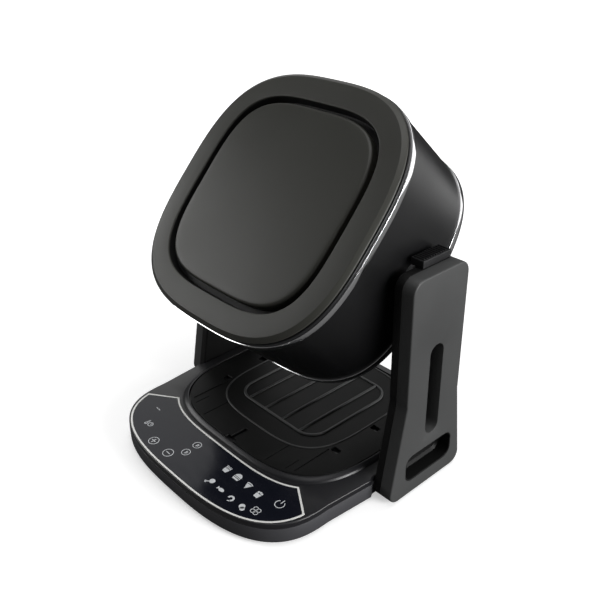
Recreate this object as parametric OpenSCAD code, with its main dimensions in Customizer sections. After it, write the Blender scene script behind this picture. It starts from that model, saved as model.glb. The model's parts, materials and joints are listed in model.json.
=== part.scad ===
// Flip-pod air fryer: a squircle cooking pod that turns over between two pillars
// on a low base with a touch panel. Millimetres, +Z up, -Y is the control side.
// The origin is on the table, at the centre of the footprint.

/* [Overall] */
// Distance between the outer faces of the two pillars
overall_w = 330; // [326:1:340]
// Height of the pod's turning axis above the table
axis_h = 222.5; // [222:0.5:226]
// Angle of the lid's outward axis above the horizontal, as parked
pod_tilt = 43; // [20:1:80]

/* [Base] */
// Depth of the base, front to back
base_depth = 299.4; // [299:0.2:301]
// Width of the base beside the tray
base_w = 292; // [291:1:293]
// Height of the flat top of the base
base_top_h = 26; // [26:0.5:27]
// Height of the seam between the base's two halves
base_seam_h = 20; // [19:0.5:20]
// Distance of the tray's centre behind the origin
tray_y = 38; // [37:0.5:39]
// Distance of the tray's straight rear edge behind its centre
tray_back = 88; // [86:0.5:89]
// Half width of the tray
tray_half = 122; // [121:0.5:122]
// Spacing of the tray's raised bars
bar_pitch = 27.7; // [26:0.1:29]

/* [Pillars] */
// Depth of a pillar at its top, front to back
pillar_depth = 77; // [76:1:80]
// Thickness of a pillar
pillar_t = 23; // [23:0.5:24]
// Height of the pillars' top
pillar_h = 241; // [241:0.5:243]
// How far the foot reaches forward of the pillar
foot_front = 18; // [14:1:20]
// How far the foot reaches behind the pillar
foot_back = 11; // [8:1:14]

/* [Pod] */
// Half width of the pod's body
pod_half = 133; // [132:0.5:133]
// Distance from the turning axis to the lid's face
face_z = 86; // [86:0.5:88]
// Half width of the recess around the lid's centre panel
groove_half = 104.7; // [104:0.1:105]
// Half width of the lid's centre panel
panel_half = 98.4; // [97:0.1:99]

/* [Hidden] */

// Places worked out from the driving dimensions
outer_x = overall_w / 2;
inner_x = outer_x - pillar_t;
split_x = outer_x - 11;
front_y = -158.4;
back_y = front_y + base_depth;
axis_y = 42;
bow_y = -73;
skin = 2.5;
foot_z = 3;
pan_z0 = foot_z;
beam_y = [28, 56];
beam_z = [6, 17];
pillar_y0 = axis_y - pillar_depth / 2;
pillar_y1 = axis_y + pillar_depth / 2;
notch = [inner_x - 0.3, pillar_y0 - foot_front - 2, pillar_y1 + foot_back + 4];

// Pod sections, measured along the lid's axis from the turning axis
ring_z0 = face_z - 5.6;
collar_z1 = ring_z0 - 0.6;
chrome_z1 = face_z - 9.2;
chrome_z0 = face_z - 15.3;
rear_chrome_z1 = face_z - 113;
rear_chrome_z0 = face_z - 118.6;
rear_z = face_z - 122;
chrome_half = pod_half + 1;
liner_half = 118;
pot_half = 108;
pan_floor_z = face_z - 14;

// Lid hinge axis in the pod's frame
hinge_y = pod_half - 2.8;
hinge_z = face_z - 11;
knuckle_r = 2.6;
pin_r = 1.5;

// Trunnions and the flip drive
shaft_r = 8;
bush_r = 12;
gear_module = 0.8;
gear_teeth = 36;
pinion_teeth = 18;
gear_x = [147, 153];
gear_gap = gear_module * (gear_teeth + pinion_teeth) / 2 + 0.1;
pinion_z = axis_h - gear_gap;

// Slot and hand grip in each outer cover
slot_w = 19;
slot_z = [64.5, 166];
slot_floor_x = outer_x - 14;
grip_y = [7.5, 74.5];
grip_z = [20, 49];
grip_r = 9;
slot_wall = 1.5;
liner_wall = 1.2;

// Touch keys on the control panel
key_pitch = 16.5;
food_rows = [[33.5, -112], [36, -134.5]];
key_spots = concat(
    [for (r = food_rows) for (i = [0:3]) [r[0] + i * key_pitch, r[1]]],
    [[98, -128], [107, -106], [-56, -141], [-29, -141], [-17, -127], [-18, -112]]
);

$fn = 64;

// ---------- outlines ----------

// Rounded square whose sides bulge: |x|^n + |y|^n = half^n
function squircle(half, n = 3, count = 96) = [
    for (i = [0:count - 1])
        let (a = 360 * (i + 0.5) / count, c = cos(a), s = sin(a))
        let (r = half * pow(pow(abs(c), n) + pow(abs(s), n), -1 / n))
        [r * c, r * s]
];

function arc(c, r, a0, a1, steps = 12) = [
    for (i = [0:steps]) let (a = a0 + (a1 - a0) * i / steps) c + r * [cos(a), sin(a)]
];

function mirror_x(pts) = [for (i = [len(pts) - 1:-1:0]) [-pts[i][0], pts[i][1]]];

// Right half of a superellipse's front, from the middle of the front to the widest place
function bowed_front(a, b, n = 2.8, steps = 20) = [
    for (i = [0:steps]) let (t = 90 * i / steps) [a * pow(sin(t), 2 / n), bow_y - b * pow(cos(t), 2 / n)]
];

// Footprint of the base, moved in by d
function base_right(d) =
    let (half = base_w / 2, corner = 60)
    concat(
        bowed_front(half - 6.7 - d, bow_y - front_y - d),
        [[half - 1.2 - d, -11]],
        arc([half - corner, back_y - corner], corner - d, 0, 90, 16)
    );
function base_outline(d) = concat(base_right(d), mirror_x(base_right(d)));

// Side view of a pillar in the YZ plane, moved in by d
function pillar_outline(d) =
    let (top = 13, low = 12, z0 = foot_z - 0.4)
    concat(
        arc([pillar_y0 - foot_front + low, z0 + low], low - d, 180, 270, 8),
        arc([pillar_y1 + foot_back - low, z0 + low], low - d, 270, 360, 8),
        [[pillar_y1 - d, 105]],
        arc([pillar_y1 - top, pillar_h - top], top - d, 0, 90, 10),
        arc([pillar_y0 + top, pillar_h - top], top - d, 90, 180, 10),
        [[pillar_y0 + d, 117]]
    );

// Involute spur gear outline
function inv(a) = tan(a) * 180 / PI - a;
function gear_outline(teeth, phase) =
    let (rp = gear_module * teeth / 2, rb = rp * cos(20))
    let (ra = rp + 0.95 * gear_module, rf = rp - 1.25 * gear_module)
    let (slack = 0.12 / rp * 180 / PI)
    let (rs = [rf, max(rf, rb) + 0.05, (rb + rp) / 2 + 0.1, rp, (rp + ra) / 2, ra])
    let (ha = [for (r = rs) 90 / teeth + inv(20) - inv(acos(min(1, rb / r))) - slack])
    [
        for (k = [0:teeth - 1]) for (j = [0:11])
            let (i = j < 6 ? j : 11 - j, side = j < 6 ? -1 : 1)
            let (a = phase + k * 360 / teeth + side * ha[i])
            rs[i] * [cos(a), sin(a)]
    ];

// ---------- placing ----------

module in_pod() translate([0, axis_y, axis_h]) rotate([90 - pod_tilt, 0, 0]) children();

// Extrudes a YZ outline from x0 to x1
module along_x(x0, x1) translate([x0, 0, 0]) rotate([90, 0, 90]) linear_extrude(x1 - x0) children();

module rod_x(r, x0, x1, y, z) translate([x0, y, z]) rotate([0, 90, 0]) cylinder(r = r, h = x1 - x0);

module slab(pts, z0, z1) translate([0, 0, z0]) linear_extrude(z1 - z0) polygon(pts);

module block(a, b) translate(a) cube(b - a);

// Closed band between two squircles
module band(outer, inner, z0, z1, n_out = 3, n_in = 3)
    translate([0, 0, z0]) linear_extrude(z1 - z0) difference() {
        polygon(squircle(outer, n_out));
        polygon(squircle(inner, n_in));
    }

module stadium(half_w, z0, z1) {
    translate([axis_y, z0 + half_w]) circle(half_w);
    translate([axis_y, z1 - half_w]) circle(half_w);
    translate([axis_y - half_w, z0 + half_w]) square([2 * half_w, z1 - z0 - 2 * half_w]);
}

module rounded_rect(y0, y1, z0, z1, r) {
    for (y = [y0 + r, y1 - r], z = [z0 + r, z1 - r]) translate([y, z]) circle(r);
    translate([y0 + r, z0]) square([y1 - y0 - 2 * r, z1 - z0]);
    translate([y0, z0 + r]) square([y1 - y0, z1 - z0 - 2 * r]);
}

// ---------- base ----------

module pillar_gaps(grow = 0)
    for (s = [-1, 1]) translate([s * (notch[0] - grow + 30), (notch[1] + notch[2]) / 2, 0])
        cube([60, notch[2] - notch[1] + 2 * grow, 100], center = true);

module beam_gap(margin) block([-outer_x, beam_y[0] - margin, beam_z[0] - margin],
                              [outer_x, beam_y[1] + margin, beam_z[1] + margin]);

screw_spots = [for (s = [-1, 1]) for (p = [[112, -98], [126, -30], [104, 122]]) [s * p[0], p[1]]];
foot_spots = [for (s = [-1, 1]) for (p = [[100, -120], [98, 108]]) [s * p[0], p[1]]];

module base_pan() color("dimgray") difference() {
    union() {
        difference() {
            slab(base_outline(0), pan_z0, base_seam_h);
            pillar_gaps();
            difference() {
                slab(base_outline(skin), pan_z0 + skin, base_seam_h + 1);
                pillar_gaps(skin);
            }
        }
        for (p = screw_spots) translate([p[0], p[1], pan_z0]) cylinder(r = 4, h = base_seam_h - pan_z0);
    }
    beam_gap(0.3);
    for (p = screw_spots) translate([p[0], p[1], 0]) {
        cylinder(r = 3.2, h = 8);
        cylinder(r = 1.7, h = 30);
    }
    for (p = foot_spots) translate([p[0], p[1], 0]) cylinder(r = 8, h = 4.2);
    gland_hole();
}

module gland_hole() translate([60, back_y + 1, 11.5]) rotate([90, 0, 0]) cylinder(r = 6, h = 12);

module base_top() color("black") difference() {
    union() {
        difference() {
            union() {
                slab(base_outline(0.3), base_seam_h + 0.2, base_top_h - 1);
                slab(base_outline(0.9), base_top_h - 1, base_top_h);
            }
            difference() {
                slab(base_outline(3 + skin), base_seam_h - 1, base_top_h - skin);
                pillar_gaps(skin);
            }
        }
        tray_slab(129.2, 3.5, tray_back + 4.5, base_top_h, base_top_h + 2);
        tray_slab(127, 3.5, tray_back + 3.4, base_top_h + 2, base_top_h + 3.6);
        tray_slab(125, 3.5, tray_back + 2.4, base_top_h + 3.6, base_top_h + 4.5);
        for (p = screw_spots) translate([p[0], p[1], base_seam_h + 0.2]) cylinder(r = 4, h = 4);
        for (p = [[-46, -140], [20, -140], [95, -118]]) translate([p[0], p[1], 22.5]) cylinder(r = 2.5, h = 1.2);
    }
    tray_slab(tray_half + 1, 3.5, tray_back + 1, base_top_h + 0.5, 40);
    slab_glass(0.1, base_top_h - 1.4, 40);
    for (p = screw_spots) translate([p[0], p[1], 0]) cylinder(r = 1.7, h = base_top_h - 2.3);
    for (p = key_spots) translate([p[0], p[1], 0]) cylinder(r = 3.6, h = 40);
    block([-96.2, -126.2, 0], [-59.8, -109.8, 40]);
    pillar_gaps();
}

// Squircle around the tray's centre with a straight rear edge
module tray_slab(half, n, back, z0, z1) translate([0, tray_y, z0]) linear_extrude(z1 - z0) intersection() {
    polygon(squircle(half, n));
    translate([-half, -half]) square([2 * half, half + back]);
}

// Control panel: a band between the base's front edge and the tray's rim
module glass_shape(grow) intersection() {
    difference() {
        polygon(concat(bowed_front(134.8 + grow, 83.4 + grow, 2.9), mirror_x(bowed_front(134.8 + grow, 83.4 + grow, 2.9))));
        translate([0, tray_y]) polygon(squircle(131.5 - grow, 3.7));
    }
    polygon([
        [-160, -190], [160, -190], [160, -116.5 + grow], [103.4, -77.2 + grow],
        [-103.4, -77.2 + grow], [-160, -116.5 + grow]
    ]);
}
module slab_glass(grow, z0, z1) translate([0, 0, z0]) linear_extrude(z1 - z0) glass_shape(grow);

module control_glass() color("black") slab_glass(-1.6, base_top_h - 1.4, base_top_h);

module glass_trim() color("silver") difference() {
    slab_glass(0, base_top_h - 1.4, base_top_h + 0.15);
    slab_glass(-1.5, base_top_h - 2, base_top_h + 1);
}

module control_board() color("darkgreen") difference() {
    slab_glass(-7, 20.9, 22.5);
    for (p = screw_spots) translate([p[0], p[1], 0]) cylinder(r = 4.4, h = 40);
}

module touch_springs() color("gold")
    for (p = key_spots) translate([p[0], p[1], 22.5]) cylinder(r = 2.8, h = base_top_h - 1.4 - 22.5);

module display_module() color("white") block([-96, -126, 22.5], [-60, -110, base_top_h - 1.4]);

module buzzer() color("dimgray") translate([-40, -122, 16.9]) cylinder(r = 6, h = 4);

module rubber_feet() color("gray") for (p = foot_spots) translate([p[0], p[1], 0]) cylinder(r = 7.9, h = 4.2);

module base_screws() color("silver") for (p = screw_spots) translate([p[0], p[1], 0]) {
    translate([0, 0, 5.4]) cylinder(r = 3.1, h = 2.6);
    translate([0, 0, 8]) cylinder(r = 1.6, h = 13);
}

module cross_beam() color("silver") difference() {
    block([-inner_x - 2.6, beam_y[0], beam_z[0]], [inner_x + 2.6, beam_y[1], beam_z[1]]);
    block([-inner_x - 0.6, beam_y[0] + 2, beam_z[0] - 1], [inner_x + 0.6, beam_y[1] - 2, beam_z[1] - 2]);
    upright_screw_holes(1.6);
}

module power_board() color("darkgreen") {
    block([-70, 72, 5.5], [30, 126, 8.1]);
    for (p = [[-50, 84, 12, 9], [-20, 90, 9, 11], [10, 110, 8, 8]])
        translate([p[0], p[1], 8.1]) cylinder(r = p[2] / 2, h = p[3]);
    block([-60, 104, 8.1], [-30, 120, 18]);
}

module cord_gland() color("black") difference() {
    translate([60, back_y, 11.5]) rotate([90, 0, 0]) cylinder(r = 5.9, h = 10);
    translate([60, back_y + 1, 11.5]) rotate([90, 0, 0]) cylinder(r = 3.4, h = 12);
}

// Ribbed tray: a shallow plate with a raised border, a ribbed middle and clip slots
module tray_plate() color("black") {
    z0 = base_top_h + 0.6;
    z1 = base_top_h + 4;
    difference() {
        union() {
            tray_slab(tray_half, 3.5, tray_back, z0, z1);
            translate([0, tray_y, 0]) band(87, 85.2, z1, z1 + 0.8, 3.4, 3.4);
            translate([0, tray_y, z1]) linear_extrude(1.6) difference() {
                rounded_rect(-64, 64, -62.5, 62, 23);
                rounded_rect(-61.2, 61.2, -59.7, 59.2, 20.2);
            }
            for (i = [-1.5:1:1.5]) translate([i * bar_pitch, tray_y, z1])
                translate([-1.4, -61, 0]) cube([2.8, 121.5, 1.4]);
        }
        block([-2.2, tray_y - tray_half - 1, z0 - 1], [2.2, tray_y - 98, z1 + 1]);
        block([-6.5, tray_y - tray_half - 1, z0 - 1], [6.5, tray_y - 117, z1 + 1]);
        for (s = [-1, 1]) for (p = [[91, -53.5], [94, 2]])
            translate([s * p[0], tray_y + p[1], z0 - 1]) cylinder(r = 4.4, h = 10, $fn = 24);
    }
}

// ---------- pillars ----------

module at_side(s) mirror([s < 0 ? 1 : 0, 0, 0]) children();

// Outer half of a pillar, with the deep wall of its slot moulded on
module outer_cover() difference() {
    union() {
        difference() {
            along_x(split_x, outer_x) polygon(pillar_outline(0));
            along_x(split_x - 1, outer_x - skin) polygon(pillar_outline(skin));
        }
        along_x(slot_floor_x, outer_x) stadium(slot_w / 2 + slot_wall, slot_z[0] - slot_wall, slot_z[1] + slot_wall);
    }
    along_x(slot_floor_x - 1, outer_x + 1) stadium(slot_w / 2, slot_z[0], slot_z[1]);
    along_x(split_x - 1, outer_x + 1) grip_shape(liner_wall);
}

module grip_shape(grow)
    rounded_rect(grip_y[0] - grow, grip_y[1] + grow, grip_z[0] - grow, grip_z[1] + grow, grip_r + grow);

module inner_cover() difference() {
    along_x(inner_x, split_x - 0.1) polygon(pillar_outline(0));
    along_x(inner_x + skin, split_x) polygon(pillar_outline(skin));
    rod_x(bush_r + 0.1, inner_x - 1, split_x, axis_y, axis_h);
    beam_gap(0.5);
}

module slot_back() along_x(slot_floor_x - 1.5, slot_floor_x)
    stadium(slot_w / 2 + slot_wall, slot_z[0] - slot_wall, slot_z[1] + slot_wall);

module grip_liner() difference() {
    along_x(inner_x + 5.2, outer_x) grip_shape(liner_wall - 0.05);
    along_x(inner_x + 6.7, outer_x + 1) grip_shape(0);
}

upright_screw_yz = [[35, 11.5], [49, 11.5]];
module upright_screw_holes(r)
    for (p = upright_screw_yz) rod_x(r, -outer_x, outer_x, p[0], p[1]);

module upright() difference() {
    union() {
        block([inner_x + 2.7, 18, 14], [inner_x + 4.7, 66, 235]);
        block([inner_x + 2.7, 18, beam_z[0]], [inner_x + 4.7, 66, 14]);
    }
    rod_x(bush_r + 0.1, inner_x, split_x, axis_y, axis_h);
    upright_screw_holes(1.6);
}

module bush() difference() {
    union() {
        rod_x(bush_r, inner_x - 0.5, inner_x + 4.7, axis_y, axis_h);
        rod_x(15, inner_x - 2.6, inner_x - 0.1, axis_y, axis_h);
    }
    rod_x(shaft_r + 0.05, inner_x - 4, split_x, axis_y, axis_h);
}

module right_outer_cover() color("dimgray") outer_cover();
module right_inner_cover() color("black") difference() {
    inner_cover();
    block([inner_x + 2.4, axis_y + 3.5, pillar_h - 3], [inner_x + 4.9, axis_y + 18.5, pillar_h + 1]);
}
module right_slot_back() color("black") slot_back();
module right_grip_liner() color("black") grip_liner();
module right_upright() color("silver") difference() {
    upright();
    for (s = [-1, 1]) rod_x(2.5, inner_x, split_x, axis_y + s * 22, pinion_z);
}
module right_bush() color("goldenrod") bush();
module left_outer_cover() color("dimgray") at_side(-1) outer_cover();
module left_inner_cover() color("black") at_side(-1) inner_cover();
module left_slot_back() color("black") at_side(-1) slot_back();
module left_grip_liner() color("black") at_side(-1) grip_liner();
module left_upright() color("silver") at_side(-1) upright();
module left_bush() color("goldenrod") at_side(-1) bush();

module upright_screws() color("silver") for (s = [-1, 1]) at_side(s) for (p = upright_screw_yz) {
    rod_x(1.55, inner_x - 4, inner_x + 4.7, p[0], p[1]);
    rod_x(3, inner_x + 4.7, inner_x + 6.7, p[0], p[1]);
}

// Flat gear motor that turns the pod
module flip_motor() color("silver") difference() {
    union() {
        rod_x(20, split_x - 0.4, outer_x - skin - 0.3, axis_y, pinion_z);
        block([split_x - 0.4, axis_y - 28, pinion_z - 7], [split_x + 1.1, axis_y + 28, pinion_z + 7]);
    }
    rod_x(3.06, split_x - 1, split_x + 4, axis_y, pinion_z);
}

module motor_standoffs() color("silver") for (s = [-1, 1])
    rod_x(2.4, inner_x + 3, split_x - 0.4, axis_y + s * 22, pinion_z);

module motor_pinion() color("goldenrod") {
    translate([0, axis_y, pinion_z]) along_x(gear_x[0] + 0.1, gear_x[1]) polygon(gear_outline(pinion_teeth, 10));
    rod_x(3, gear_x[1], split_x + 3.4, axis_y, pinion_z);
}

// Ribbed slider on the right pillar
module lock_slider() color("black") {
    y0 = axis_y - 11;
    block([inner_x - 5.8, y0, pillar_h + 0.3], [split_x - 3, y0 + 39, pillar_h + 7.8]);
    for (i = [0:6]) block([inner_x - 4.5, y0 + 3 + i * 5.2, pillar_h + 7.8], [split_x - 4.5, y0 + 4.8 + i * 5.2, pillar_h + 9]);
    block([inner_x + 2.8, axis_y + 4, pillar_h - 4], [inner_x + 4.6, axis_y + 12, pillar_h + 0.3]);
    block([inner_x + 2.8, axis_y + 1, pillar_h - 5.4], [inner_x + 4.6, axis_y + 16, pillar_h - 2.9]);
}

// ---------- pod ----------

hinge_notch = [[-42, hinge_y - 3, face_z - 15], [42, pod_half + 4, face_z]];
catch_notch = [[-14, -pod_half - 2, face_z - 13], [14, -pod_half + 8, face_z]];

module pod_shell() color([0.08, 0.08, 0.08]) in_pod() difference() {
    band(pod_half, pod_half - skin, rear_chrome_z1, chrome_z0);
    rod_x(shaft_r + 0.2, -200, 200, 0, 0);
}

module pod_collar() color("black") in_pod() difference() {
    union() {
        band(pod_half, 121, chrome_z1, collar_z1);
        band(pod_half - 1.6, 121, chrome_z0, chrome_z1);
        band(121.2, liner_half + 0.3, chrome_z0, chrome_z0 + 1.5, 3, 3.3);
    }
    block(hinge_notch[0], hinge_notch[1]);
    block(catch_notch[0], catch_notch[1]);
}

module front_chrome_ring() color("silver") in_pod() difference() {
    band(chrome_half, pod_half - 1.5, chrome_z0 + 0.1, chrome_z1 - 0.1);
    block(hinge_notch[0], hinge_notch[1]);
}

module rear_chrome_ring() color("silver") in_pod()
    band(chrome_half, pod_half - 1.5, rear_chrome_z0, rear_chrome_z1 - 0.1);

module rear_cap() color("black") in_pod() difference() {
    union() {
        slab(squircle(chrome_half + 0.3), rear_z + 1.4, rear_chrome_z0 - 0.1);
        slab(squircle(chrome_half - 1.6), rear_z, rear_z + 1.4);
        band(pod_half - 1.6, 127.5, rear_chrome_z0 - 0.1, rear_chrome_z1);
        band(pod_half - skin - 0.1, 127.5, rear_chrome_z1, rear_chrome_z1 + 7);
    }
    for (ring = [[40, 18], [58, 26], [76, 34]]) for (i = [0:ring[1] - 1])
        rotate([0, 0, 360 * (i + 0.5) / ring[1]]) translate([ring[0], 0, rear_z - 1])
            translate([-6, -1.6, 0]) cube([12, 3.2, 8]);
    for (s = [-1, 1], t = [-1, 1]) translate([s * 98, t * 98, rear_z - 1]) cylinder(r = 2.2, h = 8);
}

module inner_liner() color("silver") in_pod() difference() {
    union() {
        band(liner_half, liner_half - 1, 4, chrome_z0 + 2.8, 3.3, 3.3);
        slab(squircle(liner_half, 3.3), 4, 5);
        band(120.8, liner_half - 0.5, chrome_z0 + 1.6, chrome_z0 + 2.8, 3, 3.3);
    }
    translate([0, 0, 3]) cylinder(r = 58, h = 4);
}

module fan_housing() color("silver") in_pod() difference() {
    union() {
        slab(squircle(liner_half, 3.3), -10.5, -9.5);
        band(liner_half, liner_half - 1, -9.5, 3.9, 3.3, 3.3);
    }
    translate([0, 0, -11]) cylinder(r = 9, h = 2);
    for (s = [-1, 1]) translate([s * 12, -74, -11]) cylinder(r = 3.5, h = 2);
}

module fan_guard() color("silver") in_pod() translate([0, 0, 5]) {
    for (r = [10:8:58]) difference() {
        cylinder(r = r + 1, h = 1.4);
        translate([0, 0, -1]) cylinder(r = r - 1, h = 4);
    }
    for (i = [0:5]) rotate([0, 0, 60 * i]) translate([10.5, -1.5, 0]) cube([55, 3, 1.4]);
    difference() {
        cylinder(r = 66, h = 1.4);
        translate([0, 0, -1]) cylinder(r = 62, h = 4);
    }
}

module heater_coil() color("dimgray") in_pod() {
    for (r = [66, 74]) translate([0, 0, -3]) rotate_extrude() translate([r, 0]) circle(3, $fn = 32);
    for (s = [-1, 1]) translate([s * 12, -74, -18]) cylinder(r = 3, h = 15.5, $fn = 32);
    for (a = [30, 150, 270]) rotate([0, 0, a]) translate([62, -4, -9.5]) cube([16, 8, 3.7]);
}

module fan_motor() color("silver") in_pod() difference() {
    union() {
        translate([0, 0, -12]) cylinder(r = 34, h = 1.5);
        translate([0, 0, -26]) cylinder(r = 27, h = 14);
        translate([0, 0, -10.5]) cylinder(r = 8.5, h = 1.5);
    }
    translate([0, 0, -27]) cylinder(r = 3.05, h = 20);
}

module thermostat() color("ivory") in_pod() translate([62, 48, -17.5]) cylinder(r = 8, h = 7);

module fan_shaft() color("silver") in_pod() translate([0, 0, -31.3]) cylinder(r = 3, h = 33);

module blades(count, r0, r1, z0, z1, lean)
    for (i = [0:count - 1]) rotate([0, 0, 360 * i / count]) translate([r0, 0, z0])
        rotate([0, 0, lean]) translate([0, -0.8, 0]) cube([r1 - r0, 1.6, z1 - z0]);

module convection_fan() color("silver") in_pod() difference() {
    union() {
        translate([0, 0, -7]) cylinder(r = 48, h = 1.2);
        translate([0, 0, -7]) cylinder(r = 9, h = 8);
        blades(10, 8.5, 48, -6.4, 1.6, 18);
    }
    translate([0, 0, -8]) cylinder(r = 3, h = 12);
}

module cooling_fan() color("dimgray") in_pod() difference() {
    union() {
        translate([0, 0, -31]) cylinder(r = 10, h = 4.4);
        translate([0, 0, -28]) cylinder(r = 40, h = 1);
        blades(9, 9, 44, -31, -27.5, 12);
    }
    translate([0, 0, -33]) cylinder(r = 3, h = 12);
}

module trunnion() {
    rod_x(17, pod_half, pod_half + 5, 0, 0);
    rod_x(shaft_r, pod_half - 4.9, gear_x[1], 0, 0);
}
module right_trunnion() color("silver") in_pod() trunnion();
module left_trunnion() color("silver") in_pod() at_side(-1) difference() {
    trunnion();
    rod_x(4.5, pod_half - 6, outer_x, 0, 0);
}

module side_plates() color("silver") in_pod() for (s = [-1, 1]) at_side(s) difference() {
    block([pod_half - 5, -22, -19], [pod_half - 2.9, 22, 22]);
    rod_x(shaft_r, pod_half - 6, pod_half, 0, 0);
}

module drive_gear() color("goldenrod") translate([0, axis_y, axis_h]) along_x(gear_x[0], gear_x[1])
    difference() {
        polygon(gear_outline(gear_teeth, 5));
        circle(shaft_r);
    }

module knuckle(x0, x1) rod_x(knuckle_r, x0, x1, hinge_y, hinge_z);

module pod_hinge_leaf() color("dimgray") in_pod() difference() {
    for (x = [[-41, -31], [-17, 17], [31, 41]]) {
        knuckle(x[0], x[1]);
        block([x[0], hinge_y - 3, hinge_z - 2], [x[1], hinge_y, hinge_z + 2]);
    }
    rod_x(pin_r, -45, 45, hinge_y, hinge_z);
}

module hinge_pin() color("silver") in_pod() rod_x(pin_r, -41, 41, hinge_y, hinge_z);

module lid_hinge() color("dimgray") in_pod() difference() {
    for (x = [[-30.6, -17.4], [17.4, 30.6]]) {
        knuckle(x[0], x[1]);
        block([x[0], hinge_y - 2.4, hinge_z], [x[1], hinge_y + 2.4, ring_z0]);
    }
    rod_x(pin_r + 0.05, -45, 45, hinge_y, hinge_z);
}

module pot_rests() color("silver") in_pod() for (a = [0:90:270]) rotate([0, 0, a])
    block([liner_half - 6, -12, 58], [liner_half - 1.1, 12, 61]);

module cooking_pot() color([0.15, 0.15, 0.15]) in_pod() difference() {
    union() {
        band(pot_half, pot_half - 1.6, 9, 63, 3.3, 3.3);
        slab(squircle(pot_half, 3.3), 9, 10.6);
        band(116, pot_half - 1, 61.2, 63, 3.3, 3.3);
    }
    for (ring = [[12, 6], [24, 12], [36, 18], [48, 24]]) for (i = [0:ring[1] - 1])
        rotate([0, 0, 360 * i / ring[1]]) translate([ring[0], 0, 8]) cylinder(r = 2.5, h = 4, $fn = 24);
}

module crisper_plate() color([0.2, 0.2, 0.2]) in_pod() difference() {
    union() {
        slab(squircle(103, 3.3), 17, 18.6);
        for (s = [-1, 1], t = [-1, 1]) translate([s * 70, t * 70, 10.6]) cylinder(r = 4, h = 6.4);
    }
    for (x = [-75:25:75], y = [-75:25:75]) if (abs(x) + abs(y) < 145)
        translate([x, y, 16]) cylinder(r = 4, h = 4, $fn = 24);
}

// ---------- lid ----------

module lid_ring() color([0.2, 0.2, 0.18]) in_pod() {
    difference() {
        union() {
            slab(squircle(pod_half), ring_z0, face_z - 3.2);
            slab(squircle(pod_half - 1.6), face_z - 3.2, face_z - 1.6);
            slab(squircle(pod_half - 3.4), face_z - 1.6, face_z);
        }
        slab(squircle(groove_half, 3.6), ring_z0 - 1, face_z + 1);
    }
    band(groove_half + 2.3, groove_half, pan_floor_z, ring_z0, 3.5, 3.6);
    slab(squircle(groove_half + 2.3, 3.5), pan_floor_z, pan_floor_z + 2);
    block([-11, -pod_half + 3.5, face_z - 12], [11, -pod_half + 6.5, ring_z0]);
}

module lid_panel() color([0.22, 0.22, 0.2]) in_pod() difference() {
    slab(squircle(panel_half, 3.6), pan_floor_z + 2, face_z + 0.3);
    slab(squircle(panel_half - skin, 3.6), pan_floor_z + 1, face_z - 2.2);
}

module lid_insulation() color("ivory") in_pod()
    slab(squircle(panel_half - 5, 3.6), pan_floor_z + 2, face_z - 3);

module lid_liner() color("silver") in_pod() difference() {
    slab(squircle(110, 3.3), pan_floor_z - 4, pan_floor_z);
    slab(squircle(107, 3.3), pan_floor_z - 2.8, pan_floor_z + 1);
}

module lid_seal() color("gray") in_pod() band(118.6, groove_half + 2.5, collar_z1 - 6, ring_z0, 3, 3.5);

base_pan();
base_top();
rubber_feet();
base_screws();
cross_beam();
tray_plate();
control_glass();
glass_trim();
control_board();
touch_springs();
display_module();
buzzer();
power_board();
cord_gland();
right_outer_cover();
right_inner_cover();
right_slot_back();
right_grip_liner();
right_upright();
right_bush();
left_outer_cover();
left_inner_cover();
left_slot_back();
left_grip_liner();
left_upright();
left_bush();
upright_screws();
flip_motor();
motor_standoffs();
motor_pinion();
lock_slider();
pod_shell();
pod_collar();
front_chrome_ring();
rear_chrome_ring();
rear_cap();
inner_liner();
fan_housing();
fan_guard();
heater_coil();
fan_motor();
thermostat();
right_trunnion();
left_trunnion();
side_plates();
drive_gear();
pod_hinge_leaf();
hinge_pin();
pot_rests();
cooking_pot();
crisper_plate();
convection_fan();
cooling_fan();
fan_shaft();
lid_ring();
lid_panel();
lid_insulation();
lid_liner();
lid_seal();
lid_hinge();
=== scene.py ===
"""Looks of the flip-pod air fryer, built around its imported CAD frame.

Lights, the floor and material scales are in metres.
"""
import json
import math

import bmesh
import bpy
from mathutils import Matrix, Vector


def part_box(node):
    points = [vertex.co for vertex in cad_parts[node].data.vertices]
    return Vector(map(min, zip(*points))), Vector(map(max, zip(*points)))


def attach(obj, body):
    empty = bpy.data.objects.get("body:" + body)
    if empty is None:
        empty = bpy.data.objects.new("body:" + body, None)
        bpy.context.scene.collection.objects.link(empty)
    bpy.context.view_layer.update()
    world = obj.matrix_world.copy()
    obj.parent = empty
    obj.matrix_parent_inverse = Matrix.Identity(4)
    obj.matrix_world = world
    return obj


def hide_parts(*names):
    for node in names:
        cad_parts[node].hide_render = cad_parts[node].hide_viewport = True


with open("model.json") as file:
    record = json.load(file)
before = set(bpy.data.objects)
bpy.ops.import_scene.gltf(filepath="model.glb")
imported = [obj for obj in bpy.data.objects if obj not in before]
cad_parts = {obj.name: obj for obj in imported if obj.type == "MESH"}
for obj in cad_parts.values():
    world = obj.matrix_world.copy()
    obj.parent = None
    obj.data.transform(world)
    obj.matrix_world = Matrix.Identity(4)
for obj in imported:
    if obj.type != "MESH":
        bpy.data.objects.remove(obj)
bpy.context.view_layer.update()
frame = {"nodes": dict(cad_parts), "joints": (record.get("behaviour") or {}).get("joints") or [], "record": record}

MM = 0.001
JOINTS = {j["name"]: j for j in frame["joints"]}


def size_mm(node):
    """Lowest and highest corner of a CAD node, in millimetres."""
    low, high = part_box(node)
    return Vector(low) / MM, Vector(high) / MM


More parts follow.
